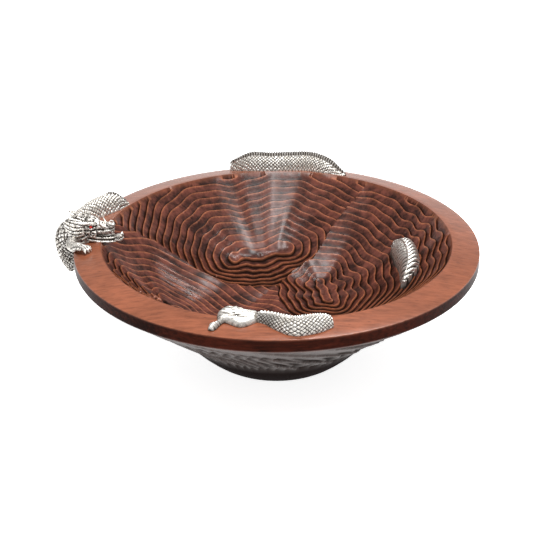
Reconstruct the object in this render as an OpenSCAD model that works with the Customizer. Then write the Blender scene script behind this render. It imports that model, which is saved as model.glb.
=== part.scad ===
// Carved wooden bowl with a cast metal dragon that dips in and out of the wood around its rim.
// Origin: centre of the flat foot. +Z up, the head at -X, the tail at -Y.

/* [Bowl] */
// Outer diameter of the rim
rim_d = 460; // [380:5:600]
// Height of the rim's inner edge above the table
bowl_h = 144; // [120:1:180]
// Width of the smooth rim top
rim_w = 31; // [28:1:40]
// Fall of the rim top from its inner edge to its outer edge
rim_fall = 5.6; // [2:0.2:8]
// Height of the plain edge band
band_h = 14.4; // [10:0.2:18]
// Diameter of the flat foot
foot_d = 156; // [120:2:180]
// Diameter of the shoulder where the foot meets the carved underside
shoulder_d = 230; // [190:2:250]
// Height of that shoulder
shoulder_h = 34.5; // [26:0.5:40]
// Height of the hollow's floor above the table
floor_h = 56; // [48:1:64]
// Diameter of the hollow's nearly flat floor
floor_d = 120; // [80:2:140]
// Diameter at which the hollow's straight wall starts
wall_d = 200; // [180:2:220]
// Height at which the hollow's straight wall starts
wall_h = 70; // [62:1:78]

/* [Castings] */
// Width of the long coil at the back
coil_w = 25; // [20:0.5:28]
// Height of the long coil at the back
coil_h = 22; // [16:0.5:28]
// Width of the hump beside the head
left_hump_w = 25; // [18:0.5:28]
// Height of the hump beside the head
left_hump_h = 23; // [16:0.5:28]
// Width of the hump inside the bowl
right_hump_w = 22; // [16:0.5:26]
// Height of the hump inside the bowl
right_hump_h = 20; // [15:0.5:26]
// Width of the scaled tail
tail_w = 23; // [16:0.5:26]
// Height of the scaled tail
tail_h = 13.5; // [11:0.5:18]
// Thickness of the tail fin
fin_t = 6.5; // [5:0.5:9]
// Height of the crest along the back
crest_h = 2.5; // [1:0.5:4]
// Radius of the neck at its thickest
neck_r = 13; // [10:0.5:14]
// Length of the neck's tapering end below the rim's edge
drop_l = 43; // [30:1:60]
// Turn of the head towards the front
head_turn = 6; // [0:1:12]
// Radius of the red eye stones
eye_r = 1.7; // [1.2:0.1:2.4]

/* [Fasteners] */
// Diameter of the screws that hold the castings
screw_d = 4; // [3:0.5:5]
// Length of the screws under their heads
screw_l = 24; // [22:1:28]
// Wood left between a casting and its washer
web = 16; // [12:1:18]
// Diameter of a screw head
head_d = 8; // [7:0.5:9]
// Height of a screw head
head_h = 2.6; // [2:0.2:4]
// Diameter of a washer
washer_d = 10; // [9:0.5:11]
// Thickness of a washer
washer_t = 1; // [0.6:0.2:1.4]
// Clearance all round a washer in its counterbore
counterbore_gap = 1; // [0.5:0.25:2]
// Radial clearance of a screw in the wood
hole_gap = 0.3; // [0.2:0.1:0.5]
// Radial clearance of a screw in a casting's tapped hole
thread_gap = 0.05; // [0.02:0.01:0.1]

/* [Fits] */
// Gap between a casting's base and the wood
seat_gap = 0.1; // [0.1:0.05:0.4]
// Gap of a soldered joint between two castings
solder_gap = 0.1; // [0.05:0.05:0.3]

/* [Hidden] */
wood = "sienna";
silver = "silver";
steel = "dimgray";
red = "crimson";
far = 900;
rim_r = rim_d / 2;
mouth_r = rim_r - rim_w;
mid_r = rim_r - rim_w / 2;
rim_slope = rim_fall / rim_w;
edge_h = bowl_h - rim_fall;
wall_slope = (bowl_h - wall_h) / (mouth_r - wall_d / 2);

// Height of the rim top, and of the hollow's straight wall, at a radius
function top_z(r) = edge_h + (rim_r - r) * rim_slope;
function wall_z(r) = bowl_h - (mouth_r - r) * wall_slope;
function seat_z(r, inside) = inside ? wall_z(r) : top_z(r);

// Smooth value at t, from 0 to 1, through evenly spaced values
function along(v, t) =
    let (last = len(v) - 1, s = t * last, i = min(last - 1, floor(s)), f = s - i)
    let (a = v[max(0, i - 1)], b = v[i], c = v[i + 1], d = v[min(last, i + 2)])
    0.5 * (2 * b + (c - a) * f + (2 * a - 5 * b + 4 * c - d) * f * f + (3 * b - a - 3 * c + d) * f * f * f);

// Each low casting is [first azimuth, last azimuth, radii, widths, heights, inside the bowl, lean]
coil = [105.5, 65, [for (d = [8, 2, -2, 1, 4, 0, -7]) mid_r + d],
    [for (k = [0.32, 0.96, 1, 1, 1, 0.98, 0.24]) k * coil_w],
    [for (k = [0.5, 0.98, 0.95, 0.97, 1, 0.74, 0.12]) k * coil_h], false, 0];
left_bend = [166.5, 151.6, [for (d = [26, 16, 6, -3, -10]) mid_r + d],
    [for (k = [0.8, 1, 1, 0.9, 0.3]) k * left_hump_w],
    [for (k = [0.72, 0.96, 1, 0.78, 0.16]) k * left_hump_h], false, 0];
right_bend = [-16.5, 20, [for (d = [0, 4, 5, 4, 2]) mouth_r - 51 + d],
    [for (k = [0.2, 0.9, 1, 0.96, 0.5]) k * right_hump_w],
    [for (k = [0.1, 0.66, 0.95, 1, 0.45]) k * right_hump_h], true, -0.12];
tail = [-97.5, -75, [for (d = [-19, -15.5, -8, -1.5, -2, -4, -6]) mid_r + d],
    [for (k = [0.5, 0.68, 0.88, 1, 1, 0.92, 0.7]) k * tail_w],
    [for (k = [0.5, 0.62, 0.8, 0.96, 1, 0.92, 0.66]) k * tail_h], false, 0.3];
tail_join_az = -95.6;
tail_join_r = mid_r - 17;

function path(c, t) =
    let (a = c[0] + (c[1] - c[0]) * t, r = along(c[2], t))
    [r * cos(a), r * sin(a)];

section_angles = [for (a = [0:15:75]) a, 84, 90, 96, for (a = [105:15:180]) a];

// One D-shaped section of a low casting, standing on the wood
function section(c, t) =
    let (p = path(c, t), d = path(c, min(1, t + 0.01)) - path(c, max(0, t - 0.01)))
    let (s = [d.y, -d.x] / norm(d), w = along(c[3], t) / 2, h = along(c[4], t))
    [for (a = section_angles)
        let (q = p + s * w * cos(a), crest = a == 90 ? min(crest_h, h / 3) : 0)
        let (g = q + s * c[6] * h * sin(a))
        [g.x, g.y, seat_z(norm(q), c[5]) + seat_gap + h * sin(a) + crest]];

// A closed solid through rings that all have the same number of points
module skin(rings) {
    n = len(rings[0]);
    last = len(rings) - 1;
    polyhedron(
        [for (ring = rings) for (p = ring) p],
        [for (i = [0:last - 1]) for (j = [0:n - 1])
            let (a = i * n + j, b = i * n + (j + 1) % n)
            each [[a, b, b + n], [a, b + n, a + n]],
        for (j = [1:n - 2]) [0, j + 1, j],
        for (j = [1:n - 2]) [last * n, last * n + j, last * n + j + 1]]);
}

module low_casting(c, steps) skin([for (i = [0:steps]) section(c, i / steps)]);

// Where the screws stand: [plan position, height of the wood's surface]
function screw_at(c, t) = let (p = path(c, t)) [p, seat_z(norm(p), c[5])];
neck_boss_r = 6;
neck_boss_h = 8;
neck_screw_x = -(rim_r - 13);
neck_screw_y = [-9, 7];
fin_screw_u = 24;
function fin_point(u, v) =
    let (a = tail_join_az) tail_join_r * [cos(a), sin(a)] + u * [sin(a), -cos(a)] + v * [cos(a), sin(a)];
coil_screws = [for (t = [0.24, 0.74]) screw_at(coil, t)];
left_screws = [for (t = [0.52, 0.8]) screw_at(left_bend, t)];
right_screws = [for (t = [0.36, 0.66]) screw_at(right_bend, t)];
tail_screws = [for (t = [0.4, 0.8]) screw_at(tail, t)];
neck_screws = [for (y = neck_screw_y) let (p = [neck_screw_x, y]) [p, top_z(norm(p))]];
fin_screws = [let (p = fin_point(fin_screw_u, 0)) [p, top_z(norm(p))]];
all_screws = concat(coil_screws, left_screws, right_screws, tail_screws, neck_screws, fin_screws);

module at_screws(list) for (s = list) translate([s[0].x, s[0].y, s[1]]) children();

module tapped_holes(list)
    at_screws(list) translate([0, 0, -far / 2])
        cylinder(r = screw_d / 2 + thread_gap, h = far / 2 + screw_l - web - washer_t + 1, $fn = 24);

module bowl_body() color(wood) difference() {
    rotate_extrude($fn = 180) polygon([[0, 0], [foot_d / 2, 0], [shoulder_d / 2, shoulder_h],
        [rim_r - 1.4, edge_h - band_h], [rim_r, edge_h - band_h + 1], [rim_r, edge_h],
        [mouth_r, bowl_h], [wall_d / 2, wall_h], [floor_d / 2, floor_h + 2], [0, floor_h]]);
    at_screws(all_screws) {
        translate([0, 0, -far]) cylinder(r = screw_d / 2 + hole_gap, h = far + 5, $fn = 24);
        translate([0, 0, -far]) cylinder(r = washer_d / 2 + counterbore_gap, h = far - web, $fn = 32);
    }
}

// The neck's line: [distance outside the rim's edge, y, height over the edge, radius]
neck_line = [[8.5, 11, -0.97 * drop_l, 0.22 * neck_r], [10, 10.5, -0.82 * drop_l, 0.42 * neck_r],
    [12, 9, -0.6 * drop_l, 0.62 * neck_r], [13.4, 6, -0.3 * drop_l, 0.76 * neck_r],
    [13, 3, 0, 0.85 * neck_r], [9, 0, 11, 0.94 * neck_r], [1, -2, 18, neck_r],
    [-8, -3, 19.5, 0.96 * neck_r], [-14, -3.2, 19.5, 0.92 * neck_r]];
head_back = 9;
head_y = -3;
head_z = edge_h + 19.5;
leg_root_y = 16;
leg_r = 4.4;

function neck_at(t) = let (p = along(neck_line, t)) [-rim_r - p[0], p[1], edge_h + p[2], p[3]];
function xyz(p) = [p[0], p[1], p[2]];
function neck_ring(t) =
    let (p = neck_at(t), d = xyz(neck_at(min(1, t + 0.01))) - xyz(neck_at(max(0, t - 0.01))))
    let (u = cross(d, [0, 1, 0]), v = cross(u, d))
    [for (a = [0:22.5:337.5]) xyz(p) + p[3] * (sin(a) * u / norm(u) - cos(a) * v / norm(v))];

module in_head() translate([-rim_r + head_back, head_y, head_z]) rotate([0, 0, -head_turn]) children();
module half(x0) translate([x0, -far / 2, -far / 2]) cube(far);

module leg_boss() translate([-rim_r + 2, 0, head_z - 8]) rotate([90, 0, 0])
    cylinder(r = leg_r, h = 2 * leg_root_y, center = true, $fn = 24);

module neck_bosses(gap) for (s = neck_screws)
    translate([s[0].x, s[0].y, top_z(norm(s[0]) - neck_boss_r) + seat_gap - gap])
        cylinder(r = neck_boss_r + gap, h = neck_boss_h + 2 * gap, $fn = 32);

module neck_coil() color(silver) difference() {
    union() {
        difference() {
            skin([for (i = [0:26]) neck_ring(i / 26)]);
            in_head() half(0);
        }
        leg_boss();
        neck_bosses(0);
    }
    tapped_holes(neck_screws);
}

skull_r = 10.5;
mouth_z = -4;
eye_at = [13, 8.6, 5];

module skull() {
    hull() {
        translate([0, 0, 1]) sphere(r = skull_r, $fn = 24);
        translate([14, 0, 3]) sphere(r = 0.85 * skull_r, $fn = 24);
    }
    hull() {
        translate([14, 0, 3]) sphere(r = 0.7 * skull_r, $fn = 24);
        translate([33, 0, 2]) sphere(r = 0.5 * skull_r, $fn = 24);
    }
    hull() {
        translate([3, 4, 6]) sphere(r = 0.8 * skull_r, $fn = 24);
        translate([1, -3, 9]) sphere(r = 0.7 * skull_r, $fn = 24);
    }
    translate([35, 0, 5]) sphere(r = 3.6, $fn = 24);
}

module head() color(silver) in_head() difference() {
    intersection() {
        skull();
        translate([solder_gap, -far / 2, mouth_z]) cube(far);
    }
    for (side = [-1, 1]) translate([eye_at.x, side * eye_at.y, eye_at.z])
        sphere(r = eye_r + solder_gap, $fn = 24);
}

module lower_jaw() color(silver) difference() {
    in_head() intersection() {
        union() {
            hull() {
                translate([7, 0, -7.5]) sphere(r = 6.4, $fn = 24);
                translate([24, 0, -8.5]) sphere(r = 4.4, $fn = 24);
            }
            hull() {
                translate([24, 0, -8.5]) sphere(r = 4.4, $fn = 24);
                translate([44, 0, -9]) sphere(r = 3.2, $fn = 24);
            }
        }
        translate([solder_gap, -far / 2, mouth_z - solder_gap - far]) cube(far);
    }
    neck_bosses(solder_gap);
    at_screws(neck_screws) translate([0, 0, -1])
        cylinder(r = screw_d / 2 + hole_gap, h = 1 + screw_l - web - washer_t + hole_gap, $fn = 24);
}

// One foreleg reaching from the neck down to a claw on the rim
claw_x = -rim_r + 17;
claw_y = 35;
module foreleg() {
    foot_z = top_z(norm([claw_x, claw_y]) - 10) + seat_gap;
    difference() {
        union() {
            hull() {
                translate([-rim_r + 2, -leg_root_y, head_z - 8]) sphere(r = leg_r, $fn = 24);
                translate([-rim_r + 6, -leg_root_y - 9, head_z - 9]) sphere(r = 0.9 * leg_r, $fn = 24);
            }
            hull() {
                translate([-rim_r + 6, -leg_root_y - 9, head_z - 9]) sphere(r = 0.9 * leg_r, $fn = 24);
                translate([claw_x - 3, -claw_y + 2, foot_z + 4]) sphere(r = 0.75 * leg_r, $fn = 24);
            }
            for (turn = [-28, 0, 28]) hull() {
                translate([claw_x - 3, -claw_y + 2, foot_z + 4]) sphere(r = 2, $fn = 16);
                translate([claw_x - 3, -claw_y + 2, foot_z + 1]) rotate([0, 0, turn - 20])
                    translate([9, 0, 0]) sphere(r = 0.9, $fn = 16);
            }
        }
        translate([-far / 2, -leg_root_y - solder_gap, -far / 2]) cube(far);
    }
}

module foreleg_near() color(silver) foreleg();
module foreleg_far() color(silver) mirror([0, 1, 0]) foreleg();

// A thin bent wire that starts at the origin and curls up and back
module curl(radius, wire_r, sweep) rotate([90, 0, 0]) translate([0, radius, 0])
    rotate([0, 0, -90]) rotate_extrude(angle = -sweep, $fn = 48)
        translate([radius, 0]) circle(r = wire_r, $fn = 16);

module horns() color(silver) in_head() difference() {
    for (side = [-1, 1]) translate([6, side * 5, 12]) rotate([0, 0, side * 12]) curl(11, 1.2, 75);
    skull();
}

module whiskers() color(silver) in_head() difference() {
    for (side = [-1, 1]) translate([30, side * 4, 4]) rotate([0, 0, -side * 40]) curl(9, 0.7, 110);
    skull();
}

module eye_stones() color(red) in_head() for (side = [-1, 1])
    translate([eye_at.x, side * eye_at.y, eye_at.z]) sphere(r = eye_r, $fn = 24);

module left_hump() color(silver) difference() {
    low_casting(left_bend, 18);
    tapped_holes(left_screws);
}

module back_coil() color(silver) difference() {
    low_casting(coil, 36);
    tapped_holes(coil_screws);
}

module right_hump() color(silver) difference() {
    low_casting(right_bend, 24);
    tapped_holes(right_screws);
}

module tail_body() color(silver) difference() {
    low_casting(tail, 28);
    rotate([0, 0, tail_join_az]) translate([-far / 2, -far, -far / 2]) cube(far);
    tapped_holes(tail_screws);
}

// Half of the fin's outline each way from the join: [away from the tail, outwards from the bowl]
fin_outline = [[solder_gap, 6], [5, 10], [11, 14], [18.5, 15], [29, 10], [34, 10], [40, 20.5], [45, 22.5],
    [47.5, 20], [46.5, 15], [42, 12], [39.5, 7], [41, -1.5], [37, -10.8], [30, -14.5], [22, -14],
    [11.5, -10], [solder_gap, -7]];

module tail_fin() color(silver) difference() {
    translate([0, 0, top_z(tail_join_r) + seat_gap]) rotate([0, 0, tail_join_az])
        translate([tail_join_r, 0, 0]) rotate([0, atan(rim_slope), 0])
            linear_extrude(fin_t) polygon([for (p = fin_outline) [p[1], -p[0]]]);
    tapped_holes(fin_screws);
}

module casting_screws() color(steel) at_screws(all_screws) translate([0, 0, -web - washer_t]) {
    cylinder(r = screw_d / 2, h = screw_l, $fn = 24);
    difference() {
        translate([0, 0, -head_h]) cylinder(r = head_d / 2, h = head_h, $fn = 32);
        translate([-head_d, -0.5, -head_h - 1]) cube([2 * head_d, 1, 2]);
    }
}

module screw_washers() color(steel) at_screws(all_screws) translate([0, 0, -web - washer_t])
    difference() {
        cylinder(r = washer_d / 2, h = washer_t, $fn = 32);
        translate([0, 0, -1]) cylinder(r = screw_d / 2 + hole_gap, h = washer_t + 2, $fn = 24);
    }

bowl_body();
neck_coil();
head();
lower_jaw();
foreleg_near();
foreleg_far();
horns();
whiskers();
eye_stones();
left_hump();
back_coil();
right_hump();
tail_body();
tail_fin();
casting_screws();
screw_washers();
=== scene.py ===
"""Looks of a carved wooden bowl with a cast dragon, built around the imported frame."""
import math

import bmesh
import bpy
import numpy as np
from mathutils import Matrix, Quaternion, Vector
from mathutils.geometry import delaunay_2d_cdt


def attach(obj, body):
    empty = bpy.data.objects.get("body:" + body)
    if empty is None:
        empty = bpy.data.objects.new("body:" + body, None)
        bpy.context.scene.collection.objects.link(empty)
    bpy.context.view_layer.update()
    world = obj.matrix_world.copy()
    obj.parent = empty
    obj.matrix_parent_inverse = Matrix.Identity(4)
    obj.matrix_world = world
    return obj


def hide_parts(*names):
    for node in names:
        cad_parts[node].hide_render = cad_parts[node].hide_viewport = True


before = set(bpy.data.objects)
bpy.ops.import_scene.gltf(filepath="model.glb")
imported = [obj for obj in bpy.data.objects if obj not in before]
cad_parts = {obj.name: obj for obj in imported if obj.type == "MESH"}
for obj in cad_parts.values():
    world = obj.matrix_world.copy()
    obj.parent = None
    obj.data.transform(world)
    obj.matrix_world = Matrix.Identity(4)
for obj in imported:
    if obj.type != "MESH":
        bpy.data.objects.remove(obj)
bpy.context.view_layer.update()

bl_info = {
    "name": "Carved Dragon Bowl",
    "version": (1, 0, 0),
    "blender": (4, 5, 0),
    "location": "View3D > Sidebar > Bowl",
    "description": "Builds a carved wooden bowl with a cast dragon on its rim",
    "category": "Object",
}

MM = 0.001
TURN = 2 * math.pi


# ---- settings

def amount(name, about, default, low, high):
    return bpy.props.FloatProperty(name=name, description=about, default=default, min=low, max=high)


def tint(name, about, default):
    return bpy.props.FloatVectorProperty(name=name, description=about, default=default,
                                         subtype="COLOR", size=3, min=0.0, max=1.0)


class BowlSettings(bpy.types.PropertyGroup):
    grid: amount("Carving grid", "Spacing of the points on the carved hollow, in mm", 1.45, 1.2, 4.0)
    lip_drop: amount("Lip drop", "Depth of the cut beside each lip, in mm", 3.0, 0.5, 4.0)
    lip_width: amount("Lip width", "Width of the flat top of each lip, in mm", 0.75, 0.5, 4.0)
    ridge: amount("Ridge height", "Height of the ridges between the hollows, in mm", 8.0, 0.0, 12.0)
    wood: tint("Rim wood", "Colour of the polished rim", (0.175, 0.055, 0.027))
    dark_wood: tint("Stained wood", "Colour of the stain in the hollow", (0.020, 0.006, 0.004))
    worn_wood: tint("Worn lips", "Colour of the lips where the stain is rubbed off",
                    (0.40, 0.135, 0.062))


class CastingSettings(bpy.types.PropertyGroup):
    metal: tint("Casting metal", "Colour of the bright cast metal", (0.82, 0.80, 0.765))
    # this colour is the patina in the cuts and also painted shade on the tail and under the castings
    tarnish_and_shade: tint("Tarnish", "Colour left in the recesses", (0.040, 0.029, 0.022))
    scale_depth: amount("Scale depth", "Depth of the cuts between scales, in mm", 1.3, 0.2, 2.0)
    eye_red: tint("Eye stone", "Colour of the eye stones", (0.60, 0.02, 0.012))


class StageSettings(bpy.types.PropertyGroup):
    sky: amount("Surrounding light", "Strength of the even white surroundings", 0.42, 0.0, 5.0)
    softbox: amount("Softbox", "Power that the lamps take shares of, in watts", 20.0, 0.0, 1000.0)
    lens: amount("Lens", "Focal length of the camera, in mm", 87.84, 20.0, 400.0)


def settings(name):
    return getattr(bpy.context.scene, name)


# ---- finishes

class Shade:
    """A node socket that takes part in sums."""

    def __init__(self, finish, socket):
        self.finish = finish
        self.socket = socket

    def _math(self, operation, first, second):
        return self.finish.add("ShaderNodeMath", {"operation": operation}, {0: first, 1: second})

    def __add__(self, other):
        return self._math("ADD", self, other)

    def __radd__(self, other):
        return self._math("ADD", other, self)

    def __sub__(self, other):
        return self._math("SUBTRACT", self, other)

    def __rsub__(self, other):
        return self._math("SUBTRACT", other, self)

    def __mul__(self, other):
        return self._math("MULTIPLY", self, other)

    def __rmul__(self, other):
        return self._math("MULTIPLY", other, self)


class Finish:
    """A procedural material that is written as expressions."""

    def __init__(self, name):
        self.material = bpy.data.materials.new(name)
        self.material.use_nodes = True
        self.tree = self.material.node_tree
        self.shader = self.tree.nodes["Principled BSDF"]

    def add(self, kind, options=None, inputs=None, output=0):
        node = self.tree.nodes.new(kind)
        for key, value in (options or {}).items():
            setattr(node, key, value)
        for key, value in (inputs or {}).items():
            self.put(node.inputs[key], value)
        return Shade(self, node.outputs[output])

    def put(self, socket, value):
        if isinstance(value, Shade):
            self.tree.links.new(value.socket, socket)
        elif socket.type == "RGBA" and len(value) == 3:
            socket.default_value = (*value, 1.0)
        else:
            socket.default_value = value

    def place(self, scale=(1.0, 1.0, 1.0), turn=(0.0, 0.0, 0.0)):
        where = self.add("ShaderNodeTexCoord", output="Object")
        return self.add("ShaderNodeMapping", {}, {"Vector": where, "Scale": scale, "Rotation": turn})

    def noise(self, where, scale, detail=4.0, rough=0.55, bend=0.0):
        return self.add("ShaderNodeTexNoise", {}, {
            "Vector": where, "Scale": scale, "Detail": detail, "Roughness": rough, "Distortion": bend})

    def cells(self, where, scale):
        return self.add("ShaderNodeTexVoronoi", {}, {"Vector": where, "Scale": scale})

    def mark(self, name):
        return self.add("ShaderNodeAttribute", {"attribute_name": name}, output="Fac")

    def ramp(self, factor, low, high, start=0.0, end=1.0):
        return self.add("ShaderNodeMapRange", {"clamp": True}, {
            "Value": factor, "From Min": low, "From Max": high, "To Min": start, "To Max": end})

    def blend(self, factor, first, second):
        return self.add("ShaderNodeMix", {"data_type": "RGBA", "clamp_factor": True},
                        {0: factor, 6: first, 7: second}, 2)

    def bump(self, height, distance, strength=1.0):
        return self.add("ShaderNodeBump", {}, {
            "Height": height, "Distance": distance, "Strength": strength})

    def set(self, **values):
        for key, value in values.items():
            self.put(self.shader.inputs[key.replace("_", " ")], value)
        return self.material


# The grain lies across the bowl at an angle
GRAIN_TURN = (0.0, 0.0, 0.45)


def times(colour, k):
    """A lighter or darker colour of the same hue."""
    return tuple(c * k for c in colour)


def wood_finish():
    own = settings("bowl_settings")
    f = Finish("Polished and stained hardwood")
    fine = f.noise(f.place((9.0, 60.0, 60.0), GRAIN_TURN), 5.0, 6.0, 0.65)
    broad = f.noise(f.place((3.0, 15.0, 15.0), GRAIN_TURN), 1.6, 3.0, 0.5, 0.6)
    pores = f.ramp(f.noise(f.place((60.0, 420.0, 420.0), GRAIN_TURN), 1.4, 2.0), 0.62, 0.78)
    patches = f.noise(f.place(), 9.0, 3.0)
    hollow, lip, groove, under, foot, edge = map(
        f.mark, ("hollow", "lip", "groove", "under", "foot", "edge"))
    # the polished rim
    colour = f.blend(f.ramp(broad, 0.3, 0.7), own.wood, times(own.wood, 1.45))
    colour = f.blend(f.ramp(fine, 0.42, 0.72, 0.0, 0.75), colour, times(own.wood, 0.5))
    colour = f.blend(pores * 0.6, colour, (0.03, 0.008, 0.004))
    # the stained hollow, rubbed through on its lips
    streaks = f.noise(f.place((14.0, 90.0, 60.0), GRAIN_TURN), 1.5, 4.0, 0.7)
    blotch = f.noise(f.place(), 55.0, 4.0, 0.65)
    # painted shade: the rise mark lightens each strip from its cut towards the next lip
    tone = f.ramp(blotch * 0.55 + streaks * 0.45 + f.mark("rise") * 0.16, 0.51, 0.71)
    colour = f.blend(hollow, colour, f.blend(tone, own.dark_wood, times(own.dark_wood, 6.2)))
    colour = f.blend(lip * f.ramp(fine * 0.4 + blotch, 0.5, 0.95, 0.25, 1.0), colour, own.worn_wood)
    # the edge band, the grey underside, and painted shade: the near-black foot under the bowl and the dark
    # cuts
    band = f.blend(f.ramp(fine + patches * 0.8, 0.6, 1.1), (0.05, 0.009, 0.004), (0.009, 0.002, 0.001))
    colour = f.blend(edge, colour, band)
    grey = f.blend(f.ramp(fine + patches * 0.5, 0.5, 1.0), (0.05, 0.032, 0.027), (0.016, 0.008, 0.006))
    colour = f.blend(under, colour, grey)
    # painted shade: the foot and bottom, which face the floor, are painted near black
    colour = f.blend(foot, colour, (0.007, 0.003, 0.0025))
    # painted shade: the groove mark darkens the cuts beside the lips and the deeper gouges underneath
    # nearly to black
    colour = f.blend(groove, colour, (0.006, 0.0025, 0.0015))
    rough = 0.30 + hollow * 0.06 + fine * 0.14 - lip * 0.05 + under * 0.18 + foot * 0.2 + groove * 0.3
    height = fine * 0.5 + pores * -0.6 + hollow * (streaks + blotch) * 0.9
    polish = (0.7 - hollow * 0.2) * (1 - edge) * (1 - under * 0.45) * (1 - foot) * (1 - groove)
    return f.set(Base_Color=colour, Roughness=rough, Normal=f.bump(height, 0.0006, 0.5),
                 Coat_Weight=polish, Coat_Roughness=0.26, Specular_IOR_Level=0.02)


def cast_finish(name, shine=0.0, beading=0.0):
    own = settings("casting_settings")
    f = Finish(name)
    recess_and_shade = f.mark("recess_and_shade")
    cloud = f.noise(f.place(), 160.0, 4.0)
    speck = f.noise(f.place(), 900.0, 3.0)
    beads = f.cells(f.place(), 520.0)
    recess_and_shade = recess_and_shade + f.ramp(beads, 0.45, 0.85) * beading
    # darkens the metal towards the patina colour: patina in the cuts and hollows, and painted shade over
    # the whole tail and under the castings
    tarnish_and_shade_amount = f.ramp(recess_and_shade + (cloud - 0.5) * 0.35, 0.15, 0.85)
    warm = tuple(c * k for c, k in zip(own.metal, (0.93, 0.87, 0.78)))
    metal = f.blend(f.ramp(cloud, 0.35, 0.75, 0.0, 0.6), own.metal, warm)
    colour = f.blend(tarnish_and_shade_amount, metal, own.tarnish_and_shade)
    rough = 0.38 - shine + f.ramp(speck, 0.3, 0.7, 0.0, 0.12) + tarnish_and_shade_amount * 0.3
    height = speck * 0.5 + cloud * 0.4 - f.ramp(beads, 0.2, 0.9) * beading * 2.5
    return f.set(Base_Color=colour, Metallic=1.0 - tarnish_and_shade_amount * 0.35, Roughness=rough,
                 Normal=f.bump(height, 0.0003, 0.6))


def stone_finish():
    own = settings("casting_settings")
    f = Finish("Red eye stone")
    cloud = f.noise(f.place(), 700.0, 3.0)
    colour = f.blend(f.ramp(cloud, 0.3, 0.7), own.eye_red, times(own.eye_red, 0.45))
    return f.set(Base_Color=colour, Roughness=0.08 + cloud * 0.08, Coat_Weight=0.6,
                 Coat_Roughness=0.05)


def steel_finish():
    f = Finish("Zinc plated steel")
    brushed = f.noise(f.place((300.0, 300.0, 2400.0)), 1.0, 3.0)
    cloud = f.noise(f.place(), 240.0, 3.0)
    colour = f.blend(f.ramp(cloud, 0.3, 0.7), (0.42, 0.42, 0.40), (0.28, 0.27, 0.24))
    return f.set(Base_Color=colour, Metallic=1.0, Roughness=0.28 + brushed * 0.22,
                 Normal=f.bump(brushed, 0.0001, 0.5))


# ---- mesh helpers

def along(values, t):
    """Smooth value at t, from 0 to 1, through evenly spaced values."""
    values = np.asarray(values, float)
    last = len(values) - 1
    s = np.clip(np.asarray(t, float), 0.0, 1.0) * last
    i = np.minimum(last - 1, np.floor(s)).astype(int)
    f = s - i
    a, b = values[np.maximum(0, i - 1)], values[i]
    c, d = values[i + 1], values[np.minimum(last, i + 2)]
    if values.ndim > 1:
        f = f[..., None]
    return 0.5 * (2 * b + (c - a) * f + (2 * a - 5 * b + 4 * c - d) * f * f
                  + (3 * b - a - 3 * c + d) * f ** 3)


def ease(x):
    """0 to 1 with a soft start and end."""
    x = np.clip(x, 0.0, 1.0)
    return x * x * (3 - 2 * x)


def ripple(x, pitch):
    """A soft wave between 0 and 1 that starts at 1."""
    return 0.5 + 0.5 * np.cos(TURN * x / pitch)


def unit(rows):
    return rows / (np.linalg.norm(rows, axis=1)[:, None] + 1e-9)


def walked(path):
    """Distance along a path at each of its points."""
    return np.concatenate([[0], np.cumsum(np.linalg.norm(np.diff(path, axis=0), axis=1))])


def read(items, key, width, kind=float):
    """One value or row for each vertex or edge."""
    values = np.empty(len(items) * width, kind)
    items.foreach_get(key, values)
    return values.reshape(-1, width)


def mesh_piece(name, points, faces, material, marks, sharp):
    """An object from points in mm, with one value per point for each mark."""
    mesh = bpy.data.meshes.new(name)
    mesh.from_pydata((np.asarray(points) * MM).tolist(), [], [list(map(int, f)) for f in faces])
    for key, values in marks.items():
        layer = mesh.attributes.new(key, "FLOAT", "POINT")
        layer.data.foreach_set("value", np.asarray(values, np.float32))
    shell = bmesh.new()
    shell.from_mesh(mesh)
    bmesh.ops.recalc_face_normals(shell, faces=shell.faces)
    shell.to_mesh(mesh)
    shell.free()
    mesh.materials.append(material)
    mesh.shade_smooth()
    mesh.set_sharp_from_angle(angle=math.radians(sharp))
    piece = bpy.data.objects.new(name, mesh)
    bpy.context.scene.collection.objects.link(piece)
    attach(piece, "root")
    return piece


def capped(rings):
    """Points and faces of a closed skin through rings of equal length."""
    rows, count = len(rings), len(rings[0])
    points = [p for ring in rings for p in ring]
    faces = [(i * count + j, i * count + (j + 1) % count,
              (i + 1) * count + (j + 1) % count, (i + 1) * count + j)
             for i in range(rows - 1) for j in range(count)]
    for row in (0, rows - 1):
        middle = np.mean(rings[row], axis=0)
        points.append(middle)
        hub = len(points) - 1
        faces += [(row * count + j, row * count + (j + 1) % count, hub) for j in range(count)]
    return np.array(points), faces


def diamonds(s, q, pitch_s, pitch_q):
    """Overlapping scales. Gives their height, from 0 to 1, and how deep in a cut each point is."""
    s, q = s / pitch_s, q / pitch_q
    s = s + 0.06 * np.sin(5.1 * q + 2.3 * s) + 0.03 * np.sin(9.7 * q - 3.1 * s)
    q = q + 0.05 * np.sin(4.3 * s - 1.9 * q)
    u, v = s + q, s - q
    fu, fv = u - np.floor(u), v - np.floor(v)
    edge = np.minimum(np.minimum(fu, 1 - fu), np.minimum(fv, 1 - fv))
    dome = ease(edge / 0.26)
    tilt = 0.55 + 0.45 * np.maximum(fu, fv)
    return dome * tilt, 1 - ease(edge / 0.20)


# ---- the bowl

RIM_R, MOUTH_R, BOWL_H, RIM_FALL, BAND_H = 230.0, 199.0, 144.0, 5.6, 14.4
EDGE_H = BOWL_H - RIM_FALL
MID_R = RIM_R - 15.5
FOOT_R, SHOULDER_R, SHOULDER_H = 78.0, 115.0, 34.5
WALL_R, WALL_H = 100.0, 70.0
# Gap between a casting's base and the wood
SEAT_GAP = 0.1

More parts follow.
